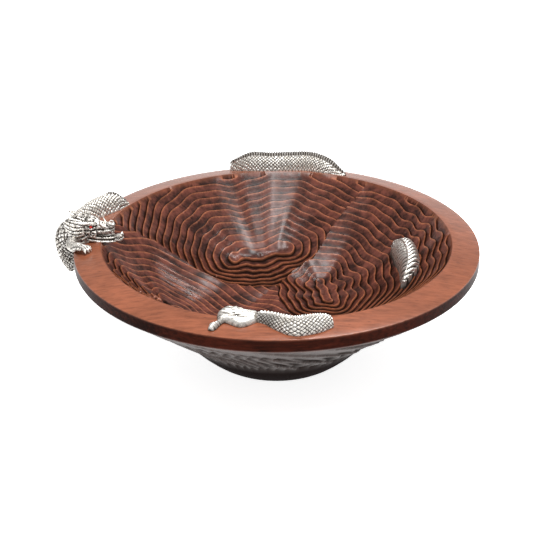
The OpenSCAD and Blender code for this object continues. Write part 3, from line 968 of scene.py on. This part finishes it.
def head_wax():
    wax = Wax(HEAD_PLACE)
    wax.rod([(-2, 0, 1), (8, 0, 2.5), (16, 0, 3), (26, 0, 2.6), (34, 0, 2.4)],
            [9.6, 9.2, 7.6, 5.4, 4.4], 20)
    wax.rods([(6, 7.5, -2), (16, 6.2, -1.6), (26, 4.8, -1.6), (33, 4, -0.6), (37, 1.5, 0.6)],
             [2.4, 2.3, 2.1, 1.9, 1.6])
    wax.rod([(12, 0, 10), (20, 0, 8.4), (28, 0, 7), (33, 0, 7.4)], [2.6, 2, 1.6, 1.4])
    wax.ball((36, 0, 5), (3.2, 3.4, 2.8))
    wax.balls((35.4, 2.9, 4.2), (2.5, 2, 2.1))
    wax.rods([(31, 4.2, 6.2), (33, 4.9, 7.8), (36, 4.6, 7.2), (37, 4, 5)], [0.8, 0.9, 0.8, 0.6])
    wax.rods([(19, 5.2, 6), (15, 7.3, 8.6), (10, 8.8, 9.6), (3, 9.8, 9.2), (-5, 10.4, 10.5),
              (-12, 10.8, 12.5)], [1.3, 2.1, 2.3, 2, 1.4, 0.6])
    wax.balls((11.5, 4.4, 10.6), (3.4, 3.2, 3.2))
    wax.rods([(9.5, 8, 3.4), (12, 8.9, 2.2), (15.5, 8.3, 2.8), (17.5, 7, 4.2)],
             [0.8, 1.1, 1, 0.6])
    wax.rods([(9.2, 8.6, 6.8), (12.5, 9.2, 7.8), (16, 8.2, 7.2), (17.8, 6.8, 5.6)],
             [0.9, 1.1, 1, 0.6])
    for side in (-1, 1):
        wax.rod(spiral((15, side * 8.2, -3.4), 4.6, 1.35, 2.6, side * 0.9), [1.2, 1.2, 1.1, 1, 0.9])
    strands = [
        ((4, 9, -4), (-4, 11, -6), (-11, 11.5, -3.5), (-15, 11, 1)),
        ((4, 9.4, -1), (-4, 11.6, -2), (-12, 12, 0.5), (-17, 11.4, 5)),
        ((4, 9.6, 2.5), (-5, 11.8, 2.5), (-13, 12, 5), (-18, 11, 9.5)),
        ((3, 9.6, 6), (-5, 11.4, 7), (-13, 11, 9), (-19, 9.5, 13)),
        ((2, 7.4, 10), (-5, 8.4, 12.5), (-12, 8, 14.5), (-18, 6.6, 17)),
        ((4, 4, 11), (-3, 4.6, 14.5), (-9, 4.4, 17), (-15, 3.6, 18.6)),
        ((4, 1, 11), (-2, 1.2, 15.5), (-7, 1.2, 18.4), (-11, 1, 19)),
    ]
    for line in strands:
        wax.rods(line, [2, 1.9, 1.3, 0.5])
    wax.rods([(-6, 6, 15), (-3, 6, 18.2), (1, 5.4, 18), (1.5, 5, 15.4)], [1.2, 1.2, 1, 0.7])
    wax.rods([(2, 3.4, 13), (5, 3.4, 16.6), (9, 3, 16.6), (9.6, 3, 14)], [1.1, 1.1, 0.9, 0.7])
    for x, size in ((20, 0.8), (24, 0.8), (28, 0.9), (31.5, 0.9)):
        wax.rods([(x, 4.6 - 0.08 * (x - 20), -2.6), (x + 0.6, 4.4 - 0.08 * (x - 20), -5.4)],
                 [size, 0.25])
    wax.rods([(35.2, 3.4, -0.8), (36.2, 3.6, -4.2), (35.6, 3.4, -7.4)], [1.3, 1, 0.3])
    return wax


def jaw_wax():
    wax = Wax(HEAD_PLACE)
    wax.rod([(1, 0, -8), (10, 0, -10.8), (20, 0, -12.6), (30, 0, -13), (38, 0, -12)],
            [6.4, 6, 4.9, 4.2, 3.4], 18)
    wax.rods([(8, 5.2, -8), (18, 4.4, -10), (29, 3.6, -10.6), (37, 2.8, -9.6), (43, 2.2, -6.4)],
             [1.6, 1.5, 1.4, 1.2, 0.6])
    wax.rod([(36, 0, -12.2), (41, 0, -10.8), (45.5, 0.4, -7.2), (46.4, 0.8, -3.6)], [3.6, 3.8, 3, 0.9])
    wax.rod([(39, -1.5, -12.8), (44, -1.5, -12.4), (48, -1, -9.6)], [3, 2.6, 0.9])
    wax.rods([(8, 6.4, -12), (20, 5.6, -14), (32, 4.6, -14.4), (40, 3.4, -13.4)],
             [1.4, 1.6, 1.5, 1.1])
    wax.rods([(6, 5.4, -9), (1, 7.4, -11.4), (-5, 8.6, -11.6), (-10, 8.6, -9)], [1.8, 1.6, 1.2, 0.5])
    wax.rods([(12, 3.8, -13), (6, 5.2, -15.6), (0, 6.2, -16), (-5, 6.4, -14)], [1.6, 1.4, 1, 0.4])
    for x in (20, 24.5, 29, 33.5):
        wax.rods([(x, 3.9 - 0.06 * (x - 20), -9.4), (x + 0.5, 3.8 - 0.06 * (x - 20), -6.9)],
                 [0.8, 0.25])
    wax.rod([(14, 0, -8), (24, 0, -8.6), (32, 0, -8), (37, 0, -6.2)], [2.2, 2, 1.6, 0.8], flat=1.4)
    return wax


def leg_wax(side):
    wax = Wax(Matrix.Scale(side, 4, (0, 1, 0)))
    x0, head_z = -RIM_R, EDGE_H + 19.5
    foot_z = top_z(math.hypot(-RIM_R + 17, 35) - 10) + SEAT_GAP
    elbow = (x0 + 2.5, -27.5, head_z - 13.5)
    wrist = (x0 + 13, -33.5, foot_z + 4.4)
    wax.rod([(x0 - 1, -13.5, head_z - 12), (x0 - 1, -21.5, head_z - 13.5), elbow], [6.4, 6.2, 5.4], 18)
    wax.rod([elbow, ((elbow[0] + wrist[0]) / 2, -31, (elbow[2] + wrist[2]) / 2 + 1.5), wrist],
             [5.2, 4.6, 4], 18)
    for k in range(7):
        f = k / 6
        at = np.array(elbow) * (1 - f) + np.array(wrist) * f
        lift = 1.5 * math.sin(math.pi * f)
        for step, size in (((3, -1.8, 2.2), (2.1, 1.7, 1.8)), ((0.6, -3.8, 1.6), (2, 1.6, 1.7)),
                           ((-1.6, -4.4, -0.8), (1.9, 1.5, 1.7))):
            wax.ball(at + step + (0, 0, lift), size)
    for turn in (-62, -34, -6, 22):
        c, s = math.cos(math.radians(turn)), math.sin(math.radians(turn))
        tip = (wrist[0] + 10.5 * c, wrist[1] + 10.5 * s, foot_z + 0.5)
        knuckle = (wrist[0] + 5.5 * c, wrist[1] + 5.5 * s, foot_z + 4.4)
        wax.rod([wrist, knuckle, (wrist[0] + 8.5 * c, wrist[1] + 8.5 * s, foot_z + 3), tip],
                [2.6, 2.1, 1.6, 0.4])
    return wax


NECK_LINE = [(8.5, 11, -41.9, 2.9), (10, 10.5, -35.4, 5.5), (12, 9, -25.9, 8.1), (13.4, 6, -13, 9.9),
             (13, 3, 0, 11.05), (9, 0, 11, 12.22), (1, -2, 18, 13), (-8, -3, 19.5, 12.48),
             (-14, -3.2, 19.5, 11.96)]


def neck_mesh(depth):
    """The neck as a scaled tube that arches over the rim's edge."""
    steps, around = 170, 96
    t = np.linspace(0, 0.965, steps + 1)
    line = along(NECK_LINE, t)
    path = np.stack([-RIM_R - line[:, 0], line[:, 1], EDGE_H + line[:, 2]], 1)
    radius = line[:, 3]
    ahead = unit(np.gradient(path, axis=0))
    one = unit(np.cross(ahead, (0.0, 1.0, 0.0)))
    two = np.cross(one, ahead)
    aa = np.broadcast_to(np.arange(around) * TURN / around, (steps + 1, around))
    s = np.broadcast_to(walked(path)[:, None], aa.shape)
    up, cut = diamonds(s / 6.4, aa / TURN * 13.0, 1.0, 1.0)
    back = ease(1 - np.abs(aa - math.pi) / 0.32)
    notch = ripple(s, 4.0)
    out = -1.3 * depth * (1 - up) * (1 - back) + back * (0.8 + 1.2 * notch)
    size = radius[:, None] + out * np.clip(radius[:, None] / 8.0, 0.3, 1)
    rings = (path[:, None, :] + size[..., None] * (np.cos(aa)[..., None] * one[:, None, :]
                                                   + np.sin(aa)[..., None] * two[:, None, :]))
    points, faces = capped(rings)
    recess_and_shade = np.maximum(np.maximum(cut, 0.15) * (1 - back), back * (1 - notch) * 0.8)
    return points, faces, np.concatenate([recess_and_shade.ravel(), [0.2, 0.2]])


class BOWL_OT_head(bpy.types.Operator):
    """Build the neck, head, lower jaw and forelegs"""
    bl_idname = "bowl.head"
    bl_label = "Head and forelegs"

    def execute(self, context):
        metal = cast_finish("Head cast metal", 0.0, 0.75)
        points, faces, recess_and_shade = neck_mesh(settings("casting_settings").scale_depth)
        neck = mesh_piece("neck_scaled", points, faces, metal, {"recess_and_shade": recess_and_shade}, 50.0)
        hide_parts("neck_coil")
        for name, wax, node in (("head_sculpted", head_wax(), "head"),
                                ("lower_jaw_sculpted", jaw_wax(), "lower_jaw"),
                                ("foreleg_near_sculpted", leg_wax(1), "foreleg_near"),
                                ("foreleg_far_sculpted", leg_wax(-1), "foreleg_far")):
            piece = wax.cast(name, metal)
            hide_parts(node)
        return {"FINISHED"}


class BOWL_OT_small(bpy.types.Operator):
    """Finish the horns, whiskers, eye stones, screws and washers"""
    bl_idname = "bowl.small"
    bl_label = "Wires, stones and screws"

    def execute(self, context):
        wire = cast_finish("Drawn silver wire", 0.08)
        finishes = {"horns": wire, "whiskers": wire, "eye_stones": stone_finish()}
        steel = steel_finish()
        finishes.update(casting_screws=steel, screw_washers=steel)
        for node, material in finishes.items():
            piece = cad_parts[node]
            if not piece.material_slots:
                piece.data.materials.append(material)
            for slot in piece.material_slots:
                slot.material = material
        return {"FINISHED"}


# ---- stage

# Name, place, what it points at, size, and share of the softbox's power
LAMPS = [
    ("overhead", (0.08, -0.45, 1.25), (0.0, 0.15, 0.10), (0.10, 0.95), 0.6),
    ("second strip", (-0.10, -0.55, 1.25), (0.0, 0.17, 0.11), (0.07, 0.6), 0.22),
    ("left strip", (0.43, -0.56, 1.25), (-0.05, 0.15, 0.1), (0.07, 0.35), 0.10),
    ("right strip", (-0.32, -0.17, 1.25), (0.055, 0.08, 0.07), (0.12, 0.4), 0.2),
    ("cross strip", (0.52, 0.33, 1.25), (0.52, 0.33, 0.0), (0.95, 0.12), 0.5),
    ("backdrop", (0.0, 1.7, 0.35), (0.0, 0.0, 0.2), (3.4, 0.7), 0.24),
]
CAMERA_PLACE, CAMERA_AIM, CAMERA_ROLL = (0.0, -1.3465, 0.7675), (-0.0115, 0.0, 0.1064), -0.0066
FLOOR_RADIUS = 40.0


class BOWL_OT_stage(bpy.types.Operator):
    """Build the pale floor, soft light and camera"""
    bl_idname = "bowl.stage"
    bl_label = "Stage"

    def execute(self, context):
        own = settings("stage_settings")
        scene = context.scene
        scene.view_settings.view_transform = "Standard"
        floor_mesh = bpy.data.meshes.new("floor")
        shape = bmesh.new()
        bmesh.ops.create_circle(shape, cap_ends=True, segments=128, radius=FLOOR_RADIUS)
        shape.to_mesh(floor_mesh)
        shape.free()
        floor = bpy.data.objects.new("floor", floor_mesh)
        floor.location.z = -0.0002
        paper = Finish("Pale paper floor")
        grain = paper.noise(paper.place(), 60.0, 3.0)
        tone = paper.blend(paper.ramp(grain, 0.3, 0.7), (0.90, 0.90, 0.90), (0.94, 0.94, 0.94))
        floor_mesh.materials.append(paper.set(
            Base_Color=tone, Roughness=0.9, Emission_Color=(1.0, 1.0, 1.0), Emission_Strength=0.85))
        scene.collection.objects.link(floor)

        world = bpy.data.worlds.new("White surroundings")
        world.use_nodes = True
        sky = world.node_tree.nodes["Background"]
        sky.inputs["Color"].default_value = (1.0, 1.0, 1.0, 1.0)
        sky.inputs["Strength"].default_value = own.sky
        scene.world = world

        for name, place, aim, size, share in LAMPS:
            data = bpy.data.lights.new(name, "AREA")
            data.shape = "RECTANGLE"
            data.size, data.size_y = size
            data.energy = own.softbox * share
            lamp = bpy.data.objects.new(name, data)
            lamp.visible_camera = False
            lamp.location = place
            way = Vector(aim) - Vector(place)
            lamp.rotation_euler = way.to_track_quat("-Z", "Y").to_euler()
            scene.collection.objects.link(lamp)

        lens = bpy.data.cameras.new("camera")
        lens.lens = own.lens
        lens.sensor_width = 36.0
        lens.clip_start = 0.05
        camera = bpy.data.objects.new("camera", lens)
        camera.location = CAMERA_PLACE
        way = (Vector(CAMERA_AIM) - Vector(CAMERA_PLACE)).to_track_quat("-Z", "Y")
        camera.rotation_euler = (way @ Quaternion((0, 0, 1), CAMERA_ROLL)).to_euler()
        scene.collection.objects.link(camera)
        scene.camera = camera
        return {"FINISHED"}


class BOWL_PT_panel(bpy.types.Panel):
    """Sidebar list of the bowl's pieces"""
    bl_label = "Carved Dragon Bowl"
    bl_space_type = "VIEW_3D"
    bl_region_type = "UI"
    bl_category = "Bowl"

    def draw(self, context):
        for name in ("bowl_settings", "casting_settings", "stage_settings"):
            group = getattr(context.scene, name)
            for key in group.__annotations__:
                self.layout.prop(group, key)
        for operator in OPERATORS:
            self.layout.operator(operator.bl_idname)


SETTINGS = {"bowl_settings": BowlSettings, "casting_settings": CastingSettings,
            "stage_settings": StageSettings}
OPERATORS = (BOWL_OT_stage, BOWL_OT_bowl, BOWL_OT_coils, BOWL_OT_tail, BOWL_OT_head, BOWL_OT_small)


def register():
    for kind in (*SETTINGS.values(), *OPERATORS, BOWL_PT_panel):
        bpy.utils.register_class(kind)
    for name, kind in SETTINGS.items():
        setattr(bpy.types.Scene, name, bpy.props.PointerProperty(type=kind))


def unregister():
    for name in SETTINGS:
        delattr(bpy.types.Scene, name)
    for kind in (BOWL_PT_panel, *OPERATORS, *SETTINGS.values()):
        bpy.utils.unregister_class(kind)


def main():
    register()
    bpy.ops.bowl.stage()
    bpy.ops.bowl.bowl()
    bpy.ops.bowl.coils()
    bpy.ops.bowl.tail()
    bpy.ops.bowl.head()
    bpy.ops.bowl.small()


if __name__ == "__main__":
    main()
